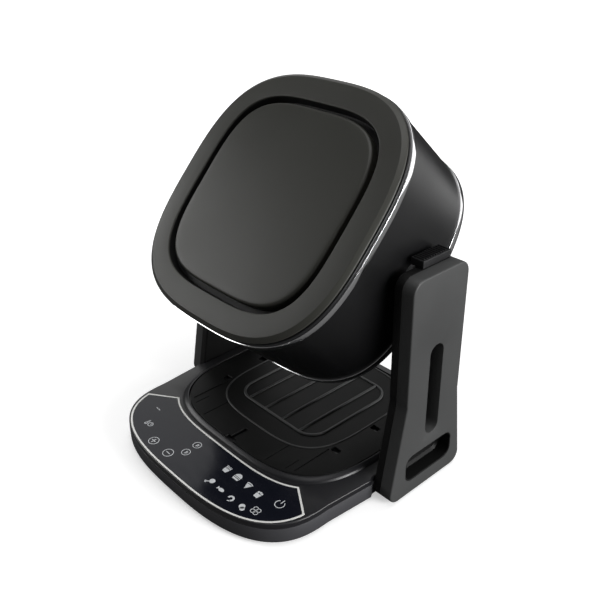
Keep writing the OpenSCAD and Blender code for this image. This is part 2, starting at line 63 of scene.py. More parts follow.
# ---------- places taken from the frame ----------
AXIS = Vector(JOINTS["pod_tilt"]["pos_m"]) / MM
OUT = Vector(JOINTS["fan_spin"]["axis"]).normalized()
ACROSS = Vector((1, 0, 0))
POD = Matrix.Translation(AXIS) @ Matrix((ACROSS, OUT.cross(ACROSS), OUT)).transposed().to_4x4()
FLAT = Matrix.Identity(4)
ALONG_X = Matrix(((0, 0, 1, 0), (1, 0, 0, 0), (0, 1, 0, 0), (0, 0, 0, 1)))
MIRROR = Matrix.Scale(-1, 4, (1, 0, 0))

OUTER_X = size_mm("right_outer_cover")[1].x
SPLIT_X = size_mm("right_outer_cover")[0].x
INNER_X = size_mm("right_inner_cover")[0].x
PILLAR_TOP = size_mm("right_outer_cover")[1].z
PILLAR_LOW = size_mm("right_outer_cover")[0].z
PILLAR_FRONT = size_mm("right_outer_cover")[0].y
PILLAR_BACK = size_mm("right_outer_cover")[1].y
FRONT_Y = size_mm("base_pan")[0].y
BACK_Y = size_mm("base_pan")[1].y
SEAM_Z = size_mm("base_pan")[1].z
TOP_Z = size_mm("control_glass")[1].z
TRAY_HALF = size_mm("tray_plate")[1].x
TRAY_Y = size_mm("tray_plate")[0].y + TRAY_HALF
TRAY_BACK = size_mm("tray_plate")[1].y - TRAY_Y
POD_HALF = size_mm("pod_shell")[1].x
CHROME_HALF = size_mm("front_chrome_ring")[1].x
FACE = 86
SKIN = 2.5

# ---------- camera, at the photograph's viewing angle ----------
AZIMUTH, ELEVATION, ROLL = (math.radians(a) for a in (48.28, 28.45, -1.12))
DISTANCE = 804.3
TARGET = Vector((-1.5, 21.4, 155.1))
LENS = 45.75


def add_camera():
    back = Vector((
        math.sin(AZIMUTH) * math.cos(ELEVATION),
        -math.cos(AZIMUTH) * math.cos(ELEVATION),
        math.sin(ELEVATION),
    ))
    right = Vector((math.cos(AZIMUTH), math.sin(AZIMUTH), 0))
    up = back.cross(right)
    across = math.cos(ROLL) * right + math.sin(ROLL) * up
    upward = math.cos(ROLL) * up - math.sin(ROLL) * right
    data = bpy.data.cameras.new("camera")
    data.lens = LENS
    data.sensor_width = 36
    data.clip_end = 50
    camera = bpy.data.objects.new("camera", data)
    turn = Matrix((across, upward, back)).transposed().to_4x4()
    camera.matrix_world = Matrix.Translation((TARGET + back * DISTANCE) * MM) @ turn
    bpy.context.scene.collection.objects.link(camera)
    bpy.context.scene.camera = camera


add_camera()


# ---------- materials ----------
class Nodes:
    """Small helper that adds shader nodes to a new material."""

    def __init__(self, name):
        self.mat = bpy.data.materials.new(name)
        self.mat.use_nodes = True
        self.tree = self.mat.node_tree
        self.shader = self.tree.nodes["Principled BSDF"]
        self.coords = self.tree.nodes.new("ShaderNodeTexCoord").outputs["Object"]

    def add(self, kind, inputs=None, **settings):
        node = self.tree.nodes.new(kind)
        for key, value in settings.items():
            setattr(node, key, value)
        for key, value in (inputs or {}).items():
            if isinstance(value, bpy.types.NodeSocket):
                self.tree.links.new(value, node.inputs[key])
            else:
                node.inputs[key].default_value = value
        return node

    def stretch(self, scale):
        return self.add("ShaderNodeMapping", {"Vector": self.coords, "Scale": scale}).outputs["Vector"]

    def noise(self, scale, detail=3, vector=None, rough=0.5):
        made = self.add("ShaderNodeTexNoise", {
            "Vector": vector or self.coords, "Scale": scale, "Detail": detail, "Roughness": rough,
        })
        return made.outputs["Fac"]

    def cells(self, scale):
        return self.add("ShaderNodeTexVoronoi", {"Vector": self.coords, "Scale": scale}).outputs["Distance"]

    def span(self, value, low, high, from_low=0.3, from_high=0.7):
        made = self.add("ShaderNodeMapRange", {
            "Value": value, "From Min": from_low, "From Max": from_high, "To Min": low, "To Max": high,
        })
        return made.outputs["Result"]

    def blend(self, factor, colour_a, colour_b):
        made = self.add("ShaderNodeMix", {"Factor": factor}, data_type="RGBA")
        for socket, colour in ((made.inputs[6], colour_a), (made.inputs[7], colour_b)):
            if isinstance(colour, bpy.types.NodeSocket):
                self.tree.links.new(colour, socket)
            else:
                socket.default_value = (*colour, 1)
        return made.outputs[2]

    def bump(self, height, distance):
        inputs = {"Height": height, "Distance": distance, "Strength": 1.0}
        return self.add("ShaderNodeBump", inputs).outputs["Normal"]

    def wire(self, socket, value):
        self.tree.links.new(value, self.shader.inputs[socket])

    def fix(self, **values):
        for key, value in values.items():
            self.shader.inputs[key.replace("_", " ")].default_value = value


def shade(colour, factor):
    return tuple(min(1, c * factor) for c in colour)


def plastic(name, colour, rough, grain=900, depth=0.00006, spread=0.12, specular=0.5):
    """Moulded plastic: a fine spark-eroded grain, a slight flow variation and a worn sheen."""
    n = Nodes(name)
    broad = n.noise(9, 4)
    fine = n.noise(grain, 2, rough=0.6)
    n.wire("Base Color", n.blend(broad, shade(colour, 1 - spread), shade(colour, 1 + spread)))
    n.wire("Roughness", n.span(broad, rough - 0.04, rough + 0.04))
    n.wire("Normal", n.bump(fine, depth))
    n.fix(Specular_IOR_Level=specular)
    return n.mat


def metal(name, colour, rough, brush=(1, 1, 1), grain=700, depth=0.00002, metallic=1.0):
    """Sheet or turned metal with fine brush marks along one direction."""
    n = Nodes(name)
    lines = n.noise(grain, 4, n.stretch(brush))
    broad = n.noise(14, 3)
    n.wire("Base Color", n.blend(broad, shade(colour, 0.88), shade(colour, 1.08)))
    n.wire("Roughness", n.span(lines, rough - 0.05, rough + 0.08))
    n.wire("Normal", n.bump(lines, depth))
    n.fix(Metallic=metallic)
    return n.mat


def chrome_material():
    n = Nodes("chrome")
    broad = n.noise(20, 3)
    n.wire("Base Color", n.blend(broad, (0.86, 0.86, 0.87), (0.93, 0.93, 0.94)))
    n.wire("Roughness", n.span(broad, 0.04, 0.1))
    n.wire("Normal", n.bump(n.noise(60, 2), 0.00001))
    n.fix(Metallic=1.0)
    return n.mat


def glass_panel_material():
    """Polished black panel with faint smears and dust."""
    n = Nodes("panel_glass")
    smear = n.noise(30, 5, n.stretch((1, 3, 1)))
    dust = n.noise(1800, 1)
    n.wire("Base Color", n.blend(smear, (0.006, 0.007, 0.012), (0.01, 0.011, 0.017)))
    n.wire("Roughness", n.span(smear, 0.1, 0.2))
    n.wire("Normal", n.bump(dust, 0.000004))
    n.fix(Specular_IOR_Level=0.3)
    return n.mat


def nonstick_material():
    n = Nodes("nonstick")
    speck = n.span(n.cells(1500), 1, 0, 0.08, 0.16)
    n.wire("Base Color", n.blend(speck, (0.018, 0.018, 0.02), (0.11, 0.11, 0.115)))
    n.wire("Roughness", n.span(n.noise(40, 3), 0.36, 0.48))
    n.wire("Normal", n.bump(n.noise(1100, 3), 0.00005))
    return n.mat


def fibre_material():
    n = Nodes("insulation_fibre")
    strands = n.noise(500, 6, n.stretch((1, 0.2, 1)), 0.7)
    n.wire("Base Color", n.blend(strands, (0.5, 0.46, 0.36), (0.86, 0.82, 0.7)))
    n.wire("Roughness", n.span(strands, 0.85, 0.98))
    n.wire("Normal", n.bump(strands, 0.0006))
    return n.mat


def board_material():
    """Green solder mask with copper tracks showing through it."""
    n = Nodes("circuit_board")
    tracks = n.add("ShaderNodeTexBrick", {"Vector": n.coords, "Scale": 60.0, "Mortar Size": 0.03})
    green = n.blend(n.noise(80, 2), (0.015, 0.11, 0.04), (0.025, 0.15, 0.06))
    n.wire("Base Color", n.blend(tracks.outputs["Fac"], green, (0.07, 0.24, 0.1)))
    n.wire("Roughness", n.span(n.noise(200, 2), 0.25, 0.4))
    n.wire("Normal", n.bump(tracks.outputs["Fac"], 0.00005))
    return n.mat


def print_material():
    """White ink printed on the panel, with a little unevenness."""
    n = Nodes("white_print")
    patch = n.noise(700, 3)
    n.wire("Base Color", n.blend(patch, (0.62, 0.64, 0.66), (0.82, 0.84, 0.86)))
    n.wire("Roughness", n.span(patch, 0.35, 0.5))
    n.wire("Normal", n.bump(patch, 0.00001))
    return n.mat


MATS = {
    "lid_plastic": plastic("lid_plastic", (0.032, 0.032, 0.026), 0.44, 1300, 0.00005),
    "lid_ring": plastic("lid_ring_plastic", (0.04, 0.04, 0.034), 0.46, 1300, 0.00005),
    "satin_black": plastic("satin_black", (0.012, 0.012, 0.013), 0.38, 1100, 0.00004),
    # near black; on the lid's groove lining it is painted shade, and it also colours the pillar slots' back plates
    "slot_black": plastic("slot_black", (0.003, 0.003, 0.003), 0.6, 900, 0.00006),
    "tray_black": plastic("tray_black", (0.004, 0.0042, 0.0042), 0.5, 900, 0.00006, specular=0.2),
    # lighter grey than the tray the ribs are moulded with: painted highlight on the ribs
    "rib_painted_highlight": plastic("rib_painted_highlight", (0.042, 0.043, 0.043), 0.42, 900, 0.00004),
    # near black: the inner covers' and grip liners' own black, made darker still as painted shade inside the grips
    # and on the pillars' inner faces
    "black_with_painted_shade": plastic("black_with_painted_shade", (0.004, 0.004, 0.004), 0.5, 1000, 0.00005, specular=0.3),
    "gloss_black": plastic("gloss_black", (0.012, 0.012, 0.014), 0.32, 1300, 0.00003),
    "grey_plastic": plastic("grey_plastic", (0.05, 0.05, 0.055), 0.5, 1000, 0.00007),
    "pillar_grey": plastic("pillar_grey", (0.054, 0.055, 0.055), 0.5, 1000, 0.00007),
    "white_plastic": plastic("white_plastic", (0.7, 0.7, 0.68), 0.45),
    "pod_paint": plastic("pod_paint", (0.003, 0.003, 0.0034), 0.33, 1500, 0.00003, 0.2),
    "rubber": plastic("rubber", (0.03, 0.03, 0.03), 0.75, 700, 0.0001),
    "silicone": plastic("silicone", (0.14, 0.14, 0.14), 0.6, 500, 0.00005),
    "chrome_trim": chrome_material(),
    "panel_glass": glass_panel_material(),
    "silver_trim": metal("silver_trim", (0.93, 0.93, 0.9), 0.32, metallic=0.1),
    "steel": metal("steel", (0.5, 0.5, 0.51), 0.35, (1, 1, 0.1)),
    "zinc_steel": metal("zinc_steel", (0.6, 0.62, 0.64), 0.38, (1, 0.1, 0.1), 300),
    "bright_steel": metal("bright_steel", (0.62, 0.62, 0.63), 0.3, (0.1, 1, 1), 600),
    "bronze": metal("bronze", (0.6, 0.42, 0.2), 0.4),
    "copper": metal("copper", (0.7, 0.42, 0.24), 0.3),
    "heater_sheath": metal("heater_sheath", (0.14, 0.13, 0.13), 0.5),
    "circuit_board": board_material(),
    "nonstick": nonstick_material(),
    "insulation": fibre_material(),
    "white_print": print_material(),
}


# ---------- mesh building ----------
def arc(centre, radius, start, end, steps=8):
    return [
        (
            centre[0] + radius * math.cos(math.radians(start + (end - start) * i / steps)),
            centre[1] + radius * math.sin(math.radians(start + (end - start) * i / steps)),
        )
        for i in range(steps + 1)
    ]


def squircle(half, power=3.0, count=240):
    """Rounded square whose sides bulge: |x|^n + |y|^n = half^n."""
    points = []
    for i in range(count):
        angle = 2 * math.pi * (i + 0.5) / count
        c, s = math.cos(angle), math.sin(angle)
        r = half * (abs(c) ** power + abs(s) ** power) ** (-1 / power)
        points.append((r * c, r * s))
    return points


def rounded_rect(x0, x1, y0, y1, r, steps=8):
    """Counter-clockwise rectangle with round corners of radius r."""
    return (arc((x0 + r, y0 + r), r, 180, 270, steps) + arc((x1 - r, y0 + r), r, 270, 360, steps)
            + arc((x1 - r, y1 - r), r, 0, 90, steps) + arc((x0 + r, y1 - r), r, 90, 180, steps))


def offset(points, distance):
    """Moves a counter-clockwise outline inward by distance, corners mitred."""
    if not distance:
        return list(points)
    moved = []
    for i, here in enumerate(points):
        before, after = points[i - 1], points[(i + 1) % len(points)]
        a = Vector((here[0] - before[0], here[1] - before[1])).normalized()
        b = Vector((after[0] - here[0], after[1] - here[1])).normalized()
        na, nb = Vector((-a.y, a.x)), Vector((-b.y, b.x))
        mid = na + nb
        mid = mid / max(0.3, mid.dot(na)) if mid.length > 1e-6 else na
        moved.append((here[0] + mid.x * distance, here[1] + mid.y * distance))
    return moved


def ring(points, level, inset=0.0):
    """The outline at one level, moved inward by inset."""
    return [(x, y, level) for x, y in offset(points, inset)]


def stack(points, section):
    """The outline once for every (level, inset) of a section."""
    return [ring(points, level, inset) for level, inset in section]


def rounded_edge(points, level, radius, steps=4):
    """Rings that turn an outline's wall into a flat face at level, above the wall."""
    made = []
    for i in range(steps + 1):
        a = math.pi / 2 * i / steps
        d, h = radius * (1 - math.cos(a)), radius * (1 - math.sin(a))
        made.append(ring(points, level - h, d))
    return made


class Shape:
    """Collects closed walls of rings and flat caps between them, as one watertight mesh."""

    def __init__(self, place=FLAT):
        self.bm = bmesh.new()
        self.place = place

    def points(self, loop):
        return [self.bm.verts.new(self.place @ Vector(p)) for p in loop]

    def wall(self, rings, closed=False):
        """Joins rings of the same count. Returns the first and the last ring's vertices."""
        loops = [self.points(r) for r in rings]
        pairs = list(zip(loops, loops[1:])) + ([(loops[-1], loops[0])] if closed else [])
        for low, high in pairs:
            for i in range(len(low)):
                j = (i + 1) % len(low)
                self.bm.faces.new((low[i], low[j], high[j], high[i]))
        return loops[0], loops[-1]

    def cap(self, *loops):
        """Fills the flat face between an outline and its holes."""
        edges = []
        for loop in loops:
            for i, vert in enumerate(loop):
                other = loop[(i + 1) % len(loop)]
                edge = self.bm.edges.get((vert, other))
                edges.append(edge or self.bm.edges.new((vert, other)))
        if len(loops) == 1:
            self.bm.faces.new(loops[0])
            return
        bmesh.ops.triangle_fill(self.bm, edges=edges, use_beauty=True, use_dissolve=False)

    def dome(self, loop, centre):
        """Closes a small last ring with a fan."""
        tip = self.bm.verts.new(self.place @ Vector(centre))
        for i in range(len(loop)):
            self.bm.faces.new((loop[i], loop[(i + 1) % len(loop)], tip))

    def finish(self, name, material, body, slot=None, replaces=(), sharp=32):
        bm = self.bm
        bmesh.ops.remove_doubles(bm, verts=bm.verts, dist=0.0005)
        bmesh.ops.recalc_face_normals(bm, faces=bm.faces)
        bmesh.ops.scale(bm, vec=(MM, MM, MM), verts=bm.verts)
        mesh = bpy.data.meshes.new(name)
        bm.to_mesh(mesh)
        bm.free()
        mesh.shade_smooth()
        mesh.set_sharp_from_angle(angle=math.radians(sharp))
        mesh.materials.append(MATS[material])
        piece = bpy.data.objects.new(name, mesh)
        bpy.context.scene.collection.objects.link(piece)
        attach(piece, body)
        if replaces:
            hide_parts(*replaces)
        return piece


def fillet(corners, steps=5):
    """Rounds a profile of (half, level, radius, power) corners into (half, level, power) points."""
    made = []
    count = len(corners)
    for i, (x, y, radius, power) in enumerate(corners):
        before, after = corners[i - 1], corners[(i + 1) % count]
        here = Vector((x, y))
        a = Vector((before[0], before[1])) - here
        b = Vector((after[0], after[1])) - here
        if not radius:
            made.append((x, y, power))
            continue
        turn = a.angle(b)
        reach = min(radius / math.tan(turn / 2), a.length * 0.49, b.length * 0.49)
        radius = reach * math.tan(turn / 2)
        start, end = here + a.normalized() * reach, here + b.normalized() * reach
        centre = here + (a.normalized() + b.normalized()).normalized() * radius / math.sin(turn / 2)
        from_angle = math.atan2(start.y - centre.y, start.x - centre.x)
        swing = math.atan2(end.y - centre.y, end.x - centre.x) - from_angle
        swing = (swing + math.pi) % (2 * math.pi) - math.pi
        for k in range(steps + 1):
            angle = from_angle + swing * k / steps
            x, y = centre.x + radius * math.cos(angle), centre.y + radius * math.sin(angle)
            made.append((x, y, power))
    return made


def swept(profile, count=240):
    """One rounded square for every (half, level, power) of a profile."""
    return [[(x, y, level) for x, y in squircle(half, power, count)] for half, level, power in profile]


def band_piece(name, corners, material, body, **options):
    """A closed profile carried round the pod's rounded square."""
    shape = Shape(POD)
    shape.wall(swept(fillet(corners)), closed=True)
    return shape.finish(name, material, body, **options)


# ---------- pod ----------
LID_RING_Z = FACE - 5.6
GROOVE, PANEL = 104.7, size_mm("lid_panel")[1].x
PAN_FLOOR = FACE - 14
CHROME_TOP, CHROME_LOW = FACE - 9.2, FACE - 15.3
REAR_TOP, REAR_LOW = FACE - 113, FACE - 118.6
REAR = FACE - 122
LID_POWER, GROOVE_POWER = 2.97, 3.57


def lid_ring():
    """Flat ring, bevelled outside, that drops into the groove round the centre panel."""
    shape = Shape(POD)
    profile = fillet([
        (GROOVE + 2.3, PAN_FLOOR, 0.6, 3.5),
        (GROOVE + 2.3, LID_RING_Z, 0.3, 3.5),
        (POD_HALF - 1.2, LID_RING_Z, 0.8, LID_POWER),
        (POD_HALF + 0.1, FACE - 3.4, 1.4, LID_POWER),
        (POD_HALF - 4.6, FACE, 1.0, LID_POWER),
        (GROOVE + 0.2, FACE, 1.1, GROOVE_POWER),
        (GROOVE, FACE - 1.6, 0.1, GROOVE_POWER),
        (GROOVE + 0.6, FACE - 1.7, 0.1, GROOVE_POWER),
        (GROOVE + 0.6, PAN_FLOOR + 1.5, 0.2, GROOVE_POWER),
    ])
    first, last = shape.wall(swept(profile + [(PANEL - 12, PAN_FLOOR + 1.5, GROOVE_POWER)]))
    shape.cap(last)
    shape.cap(first)
    tongue = [(-11, 0), (11, 0), (11, 3), (-11, 3)]
    block = [(x, y - POD_HALF + 3.5) for x, y in tongue]
    low, high = shape.wall([ring(block, FACE - 12), ring(block, LID_RING_Z - 0.01)])
    shape.cap(low)
    shape.cap(high)
    shape.finish("lid_ring_moulding", "lid_ring", "lid", slot="lid_plastic", replaces=("lid_ring",))
    # near-black lining of the groove's wall and floor: painted shade in the groove
    band_piece("lid_groove_painted_shade", [
        (GROOVE, FACE - 1.75, 0.1, GROOVE_POWER), (GROOVE - 0.4, PAN_FLOOR + 2, 1.2, GROOVE_POWER),
        (PANEL - 12, PAN_FLOOR + 2, 0, GROOVE_POWER), (PANEL - 12, PAN_FLOOR + 1.5, 0, GROOVE_POWER),
        (GROOVE + 0.6, PAN_FLOOR + 1.5, 0, GROOVE_POWER), (GROOVE + 0.6, FACE - 1.75, 0, GROOVE_POWER),
    ], "slot_black", "lid", slot="lid_plastic")


def lid_panel():
    """Centre panel, slightly crowned, with a softly rounded edge."""
    shape = Shape(POD)
    crown = 0.9
    edge = fillet([
        (PANEL - 2.5, PAN_FLOOR + 2, 0, 3.6),
        (PANEL - 0.1, PAN_FLOOR + 2, 0.4, 3.6),
        (PANEL, FACE - 0.4, 3.0, 3.6),
        (PANEL - 6, FACE - 0.1, 0, 3.55),
    ])
    top = [(PANEL * s, FACE - 0.1 + crown * (1 - s ** 2) * 0.45, 2.6 + 0.95 * s)
           for s in (0.92, 0.85, 0.75, 0.6, 0.45, 0.3, 0.15, 0.04)]
    _, last = shape.wall(swept(edge + top))
    shape.dome(last, (0, 0, FACE - 0.1 + crown * 0.45))
    inner = fillet([
        (PANEL - 2.5, PAN_FLOOR + 2, 0, 3.6), (PANEL - 2.5, FACE - 2.4, 1.2, 3.6),
        (PANEL - 20, FACE - 2.4, 0, 3.6),
    ])
    _, high = shape.wall(swept(inner))
    shape.cap(high)
    shape.finish(
        "lid_centre_panel", "lid_plastic", "lid", slot="lid_plastic", replaces=("lid_panel",), sharp=40,
    )


def pod_shell():
    """Black drum, drawn from sheet. The trunnions pass straight through it."""
    shape = Shape(POD)
    inner = POD_HALF - SKIN
    profile = [
        (POD_HALF, REAR_TOP, 3), (POD_HALF, CHROME_LOW, 3), (inner, CHROME_LOW, 3), (inner, REAR_TOP, 3),
    ]
    shape.wall(swept(profile, 288), closed=True)
    shape.finish("drum", "pod_paint", "pod", slot="pod_paint", replaces=("pod_shell",))


def cut_hinge_notch(piece):
    """Takes the opening for the lid's hinge out of a ring at the rear of the pod's mouth."""
    shape = Shape(POD)
    half, y0, y1 = 42, POD_HALF - 5.8, POD_HALF + 4
    outline = [(-half, y0), (half, y0), (half, y1), (-half, y1)]
    low, high = shape.wall([ring(outline, FACE - 15), ring(outline, FACE)])
    shape.cap(low)
    shape.cap(high)
    bmesh.ops.recalc_face_normals(shape.bm, faces=shape.bm.faces)
    bmesh.ops.scale(shape.bm, vec=(MM, MM, MM), verts=shape.bm.verts)
    mesh = bpy.data.meshes.new("notch")
    shape.bm.to_mesh(mesh)
    shape.bm.free()
    cutter = bpy.data.objects.new("notch", mesh)
    bpy.context.scene.collection.objects.link(cutter)
    cut = piece.modifiers.new("notch", "BOOLEAN")
    cut.operation, cut.solver, cut.object = "DIFFERENCE", "EXACT", cutter
    now = piece.evaluated_get(bpy.context.evaluated_depsgraph_get())
    result = bpy.data.meshes.new_from_object(now)
    piece.modifiers.clear()
    piece.data = result
    bpy.data.objects.remove(cutter)


def pod_trim():
    collar = band_piece("collar", [
        (121, CHROME_LOW, 0.4, 3), (POD_HALF - 1.6, CHROME_LOW, 0.2, 3), (POD_HALF - 1.6, CHROME_TOP, 0.1, 3),
        (POD_HALF, CHROME_TOP, 0.4, 3), (POD_HALF, LID_RING_Z - 0.6, 0.8, 3), (121, LID_RING_Z - 0.6, 1.0, 3),
    ], "satin_black", "pod", slot="satin_black", replaces=("pod_collar",))
    cut_hinge_notch(collar)
    for name, top, low, node in (
        ("front_chrome", CHROME_TOP - 0.1, CHROME_LOW + 0.1, "front_chrome_ring"),
        ("rear_chrome", REAR_TOP - 0.1, REAR_LOW, "rear_chrome_ring"),
    ):
        rim = band_piece(name, [
            (POD_HALF - 1.5, low, 0.1, 3), (CHROME_HALF, low, 0.35, 3),
            (CHROME_HALF, top, 0.35, 3), (POD_HALF - 1.5, top, 0.1, 3),
        ], "chrome_trim", "pod", slot="chrome_trim", replaces=(node,))
        if name == "front_chrome":
            cut_hinge_notch(rim)


def slot_outline(length, width, turn, centre):
    """Stadium whose long side runs across the radius."""
    half, r = length / 2 - width / 2, width / 2
    points = arc((half, 0), r, -90, 90, 5) + arc((-half, 0), r, 90, 270, 5)
    c, s = math.cos(turn), math.sin(turn)
    return [(centre[0] + c * x - s * y, centre[1] + s * x + c * y) for x, y in points]


def rear_cap():
    shape = Shape(POD)
    outer = fillet([
        (POD_HALF - SKIN - 0.1, REAR_TOP + 7, 0, 3), (POD_HALF - SKIN - 0.1, REAR_LOW + 0.4, 0, 3),
        (CHROME_HALF + 0.3, REAR_LOW - 0.1, 0.5, 3), (CHROME_HALF + 0.3, REAR + 1.8, 1.0, 3),
        (CHROME_HALF - 2.4, REAR, 1.6, 3), (CHROME_HALF - 6, REAR, 0, 3),
    ])
    first, back = shape.wall(swept(outer))
    inner = [(127.5, REAR_TOP + 7, 3), (127.5, REAR_LOW - 0.1, 3)]
    start, floor = shape.wall(swept(inner))
    for i in range(len(first)):
        j = (i + 1) % len(first)
        shape.bm.faces.new((first[i], first[j], start[j], start[i]))
    backs, fronts = [back], [floor]
    for radius, count in ((40, 18), (58, 26), (76, 34)):
        for i in range(count):
            a = 2 * math.pi * (i + 0.5) / count
            hole = slot_outline(12, 3.2, a, (radius * math.cos(a), radius * math.sin(a)))
            low, high = shape.wall(stack(hole, [(REAR, -0.4), (REAR + 0.4, 0), (REAR_LOW - 0.1, 0)]))
            backs.append(low)
            fronts.append(high)
    shape.cap(*backs)
    shape.cap(*fronts)
    shape.finish("rear_cap_moulding", "satin_black", "pod", slot="satin_black", replaces=("rear_cap",))


lid_ring()
lid_panel()
pod_shell()
pod_trim()
rear_cap()


# ---------- base ----------
BOW_Y = -73
PANEL_END = (103.4, -77.2)
PANEL_END_SLOPE = 0.694


def bowed_front(a, b, power=2.8, steps=60):
    """Right half of a superellipse's front, from the middle to its widest place."""
    turns = [math.pi / 2 * i / steps for i in range(steps + 1)]
    squared = 2 / power
    return [(a * math.sin(t) ** squared, BOW_Y - b * abs(math.cos(t)) ** squared) for t in turns]


def base_outline():
    """Footprint: a bowed front, sides that spread towards the pillars and a back with large corners."""
    half, corner = 146, 60
    right = bowed_front(half - 6.7, BOW_Y - FRONT_Y) + [(half - 1.2, -11)]
    right += arc((half - corner, BACK_Y - corner), corner, 0, 90, 28)
    return right + [(-x, y) for x, y in reversed(right[1:])]


def notched(points):
    """Cuts the outline flat where the two pillars bolt on."""
    low, high = PILLAR_FRONT - 1.6, PILLAR_BACK + 1.6
    limit = INNER_X - 0.3
    made = []
    for x, y in points:
        made.append((math.copysign(min(abs(x), limit), x) if low < y < high else x, y))
    return made


def dense(points, longest=6.0):
    """Splits an outline's sides so that none is longer than this."""
    made = []
    for i, a in enumerate(points):
        b = points[(i + 1) % len(points)]
        steps = max(1, math.ceil(math.dist(a, b) / longest))
        made += [(a[0] + (b[0] - a[0]) * k / steps, a[1] + (b[1] - a[1]) * k / steps) for k in range(steps)]
    return made


FOOTPRINT = notched(dense(base_outline(), 4.0))
PAN_LOW = size_mm("base_pan")[0].z


def base_pan():
    shape = Shape()
    section = [
        (PAN_LOW, 1.6), (PAN_LOW + 0.5, 0.8), (PAN_LOW + 1.6, 0.2), (PAN_LOW + 3, 0), (SEAM_Z - 0.8, 0),
        (SEAM_Z - 0.2, 0.25), (SEAM_Z, 0.8), (SEAM_Z, SKIN), (PAN_LOW + SKIN, SKIN),
    ]
    low, floor = shape.wall(stack(FOOTPRINT, section))
    shape.cap(low)
    shape.cap(floor)
    shape.finish("lower_pan", "grey_plastic", "base", slot="grey_plastic", replaces=("base_pan",))


def glass_outline():
    """Control panel: follows the base's front edge and the tray's rim, with straight slanted ends."""
    def in_front(p):
        return p[1] < PANEL_END[1] - (abs(p[0]) - PANEL_END[0]) * PANEL_END_SLOPE

    right = bowed_front(134.8, 83.4, 2.9, 300)
    front = [p for p in [(-x, y) for x, y in reversed(right[1:])] + right if in_front(p)]
    rim = [(x, TRAY_Y + y) for x, y in squircle(131.5, 3.7, 1200) if y < 0]
    rim = sorted((p for p in rim if in_front(p)), key=lambda p: -p[0])
    return dense(front[:-1:6] + front[-1:] + rim[:-1:6] + rim[-1:], 5)


GLASS = glass_outline()


def control_panel():
    trim_w = 2.1
    shape = Shape()
    edge = [(TOP_Z - 1.4, trim_w), (TOP_Z - 0.15, trim_w), (TOP_Z, trim_w + 0.15)]
    low, high = shape.wall(stack(GLASS, edge))
    shape.cap(low)
    shape.cap(high)
    shape.finish("control_panel", "panel_glass", "base", slot="panel_glass", replaces=("control_glass",))

    shape = Shape()
    line = [
        (TOP_Z - 1.4, 0), (TOP_Z, 0), (TOP_Z + 0.15, 0.15),
        (TOP_Z + 0.15, trim_w - 0.25), (TOP_Z, trim_w - 0.1), (TOP_Z - 1.4, trim_w - 0.1),
    ]
    shape.wall(stack(GLASS, line), closed=True)
    shape.finish("panel_trim", "silver_trim", "base", slot="silver_trim", replaces=("glass_trim",))


def cut_squircle(half, power, back):
    """Rounded square round the tray's centre with a straight rear edge."""
    return [(x, min(y, back)) for x, y in squircle(half, power)]


def base_top():
    shape = Shape()
    z0 = SEAM_Z + 0.2
    section = [
        (z0 + 1, SKIN + 3), (z0, SKIN), (z0, 1.0), (z0 + 0.25, 0.5), (z0 + 0.8, 0.3), (TOP_Z - 1.5, 0.35),
    ]
    for i in range(1, 9):
        a = math.pi / 2 * i / 8
        section.append((TOP_Z - 1.5 + 1.5 * math.sin(a), 0.35 + 1.4 * (1 - math.cos(a))))
    low, top = shape.wall(stack(FOOTPRINT, section))
    shape.cap(low)
    rim = [
        (7.2, 0), (6.6, 0.3), (6.1, 1.4), (5.3, 2.3), (4.2, 3.1), (3.1, 3.8),
        (2.5, 4.2), (1.9, 4.45), (1.4, 4.4), (1.1, 4.0), (1.0, 0.5),
    ]
    rows = []
    for out, rise in rim:
        outline = cut_squircle(TRAY_HALF + out, 3.5, TRAY_BACK + 0.4 + out * 0.6)
        rows.append([(x, TRAY_Y + y, TOP_Z + rise) for x, y in outline])
    outside, inside = shape.wall(rows)
    recess = [(TOP_Z, -0.25), (TOP_Z - 0.15, -0.1), (TOP_Z - 1.4, -0.1)]
    start, end = shape.wall(stack(GLASS, recess))
    shape.cap(top, outside, start)
    shape.cap(end)
    shape.cap(inside)
    shape.finish("upper_shell", "gloss_black", "base", slot="gloss_black", replaces=("base_top",))


base_pan()
control_panel()
base_top()


# ---------- tray ----------
TRAY_TOP = TOP_Z + 4
BAR_PITCH = 27.7
CLIP_SLOTS = ((91, -53.5), (94, 2))
SEAMS = ((85, -106, -58, 1.8), (76, -110, -92, 0.9), (52, -116, -79, 0.9))


def ridge(shape, path, width, height, z):
    """Half-round rib along a closed path that lies in the tray's plane."""
    section = [
        (-width / 2, -0.3), (-width / 2, height * 0.45), (-width * 0.3, height * 0.9), (0, height),
        (width * 0.3, height * 0.9), (width / 2, height * 0.45), (width / 2, -0.3),
    ]
    rows = []
    for inset, rise in section:
        rows.append([(x, y, z + rise) for x, y in offset(path, inset)])
    shape.wall(rows, closed=True)


def rib_loop(x0, x1, y0, y1):
    """Long stadium for a straight bar, so that its ends are rounded too."""
    r = (x1 - x0) / 2
    c = (x0 + x1) / 2
    return arc((c, y0 + r), r, 180, 360, 6) + arc((c, y1 - r), r, 0, 180, 6)


def bar(shape, outline, height, z):
    section = [(z - 0.3, 0), (z + height * 0.45, 0), (z + height * 0.85, 0.35), (z + height, 0.8)]
    low, high = shape.wall(stack(outline, section))
    shape.cap(low)
    shape.cap(high)


